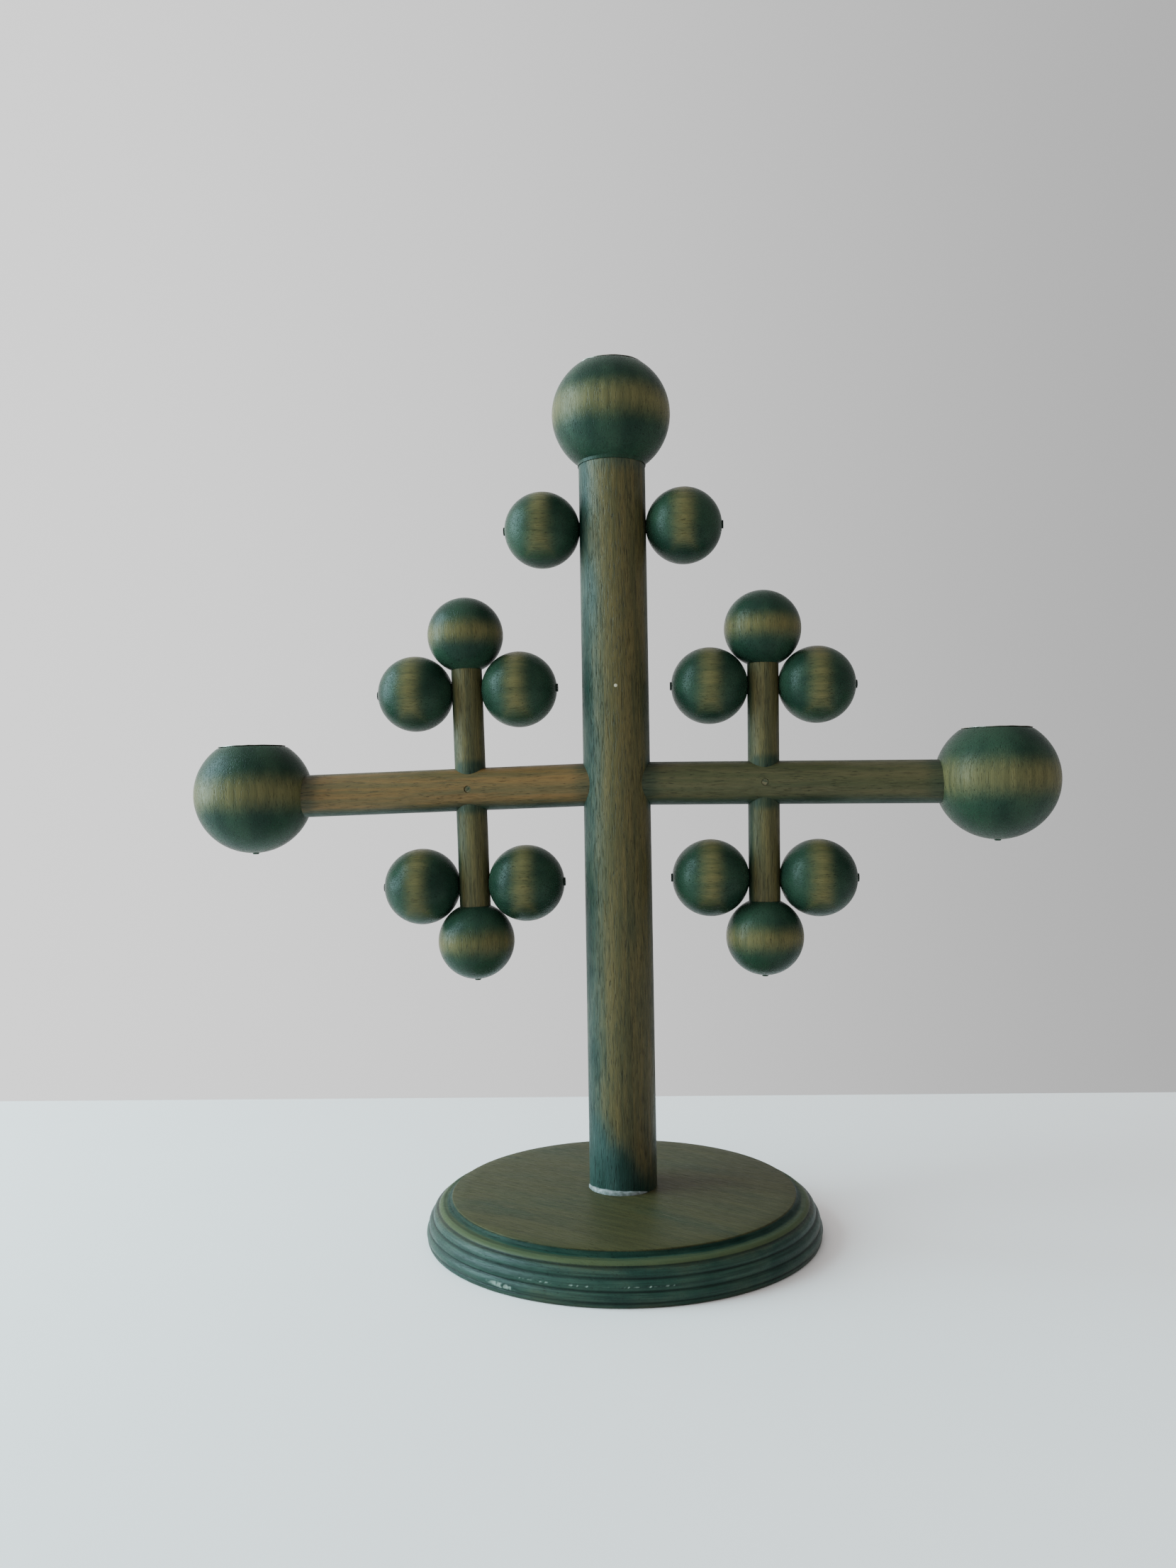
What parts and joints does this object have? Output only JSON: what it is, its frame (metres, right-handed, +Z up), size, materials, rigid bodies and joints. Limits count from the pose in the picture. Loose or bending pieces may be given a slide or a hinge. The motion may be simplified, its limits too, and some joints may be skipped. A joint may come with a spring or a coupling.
{
  "type": "wooden candelabra",
  "caption": "Turned wooden table candelabra: reeded round base, post and side arms strung with balls, with flat-topped candle balls holding tin candle cups.",
  "frame": {"origin": "centre of the base's flat underside, on the post's axis", "axes": "+Z up along the post, +X to the object's right along the arms, +Y to the back"},
  "size_m": [0.3615, 0.1626, 0.3609],
  "materials": {
    "green_stained_base": "transparent green stain on turned birch, satin, olive on the top face and dark green in the reeds",
    "olive_stained_post": "transparent green-brown stain, satin, darker green at foot and joints",
    "green_stained_ball": "transparent green stain, satin, golden olive round the equator, dark green at the bored poles",
    "green_stained_candle_ball": "transparent green stain, satin, olive-brown equator band, dark green towards the poles",
    "brown_stained_arm": "thin brown-green stain, satin, end-grain joints stained dark",
    "brown_stained_upright": "thin brown-green stain, satin, greener on one side",
    "stained_pin": "dark stained dowel end",
    "plain_dowel": "raw beech dowel",
    "tarnished_tin": "thin tinplate, tarnished dark grey with bright specks",
    "steel": "dull steel wire nail and wood screw"
  },
  "bodies": {
    "frame": {"base_disc": "green_stained_base", "post": "olive_stained_post", "post_top_dowel": "plain_dowel", "base_screw": "steel", "post_ball_left": "green_stained_ball", "post_ball_right": "green_stained_ball", "top_candle_ball": "green_stained_candle_ball", "post_ball_pin": "stained_pin", "left_candle_ball": "green_stained_candle_ball", "left_arm": "brown_stained_arm", "left_upright": "brown_stained_upright", "left_top_ball": "green_stained_ball", "left_bottom_ball": "green_stained_ball", "left_upper_outer_ball": "green_stained_ball", "left_upper_inner_ball": "green_stained_ball", "left_lower_outer_ball": "green_stained_ball", "left_lower_inner_ball": "green_stained_ball", "left_upper_pin": "stained_pin", "left_lower_pin": "stained_pin", "left_nail": "steel", "right_candle_ball": "green_stained_candle_ball", "right_arm": "brown_stained_arm", "right_upright": "brown_stained_upright", "right_top_ball": "green_stained_ball", "right_bottom_ball": "green_stained_ball", "right_upper_outer_ball": "green_stained_ball", "right_upper_inner_ball": "green_stained_ball", "right_lower_outer_ball": "green_stained_ball", "right_lower_inner_ball": "green_stained_ball", "right_upper_pin": "stained_pin", "right_lower_pin": "stained_pin", "right_nail": "steel"},
    "top_candle_cup": {"top_candle_cup": "tarnished_tin"},
    "left_candle_cup": {"left_candle_cup": "tarnished_tin"},
    "right_candle_cup": {"right_candle_cup": "tarnished_tin"}
  },
  "joints": [
    {"name": "top_cup_lift", "type": "slide", "parent": "frame", "child": "top_candle_cup", "axis": [0, 0, 1], "range_m": [0, 0.024]},
    {"name": "left_cup_lift", "type": "slide", "parent": "frame", "child": "left_candle_cup", "axis": [-0.0236, 0, 0.9997], "range_m": [0, 0.024]},
    {"name": "right_cup_lift", "type": "slide", "parent": "frame", "child": "right_candle_cup", "axis": [0.0105, 0, 0.9999], "range_m": [0, 0.024]}
  ]
}
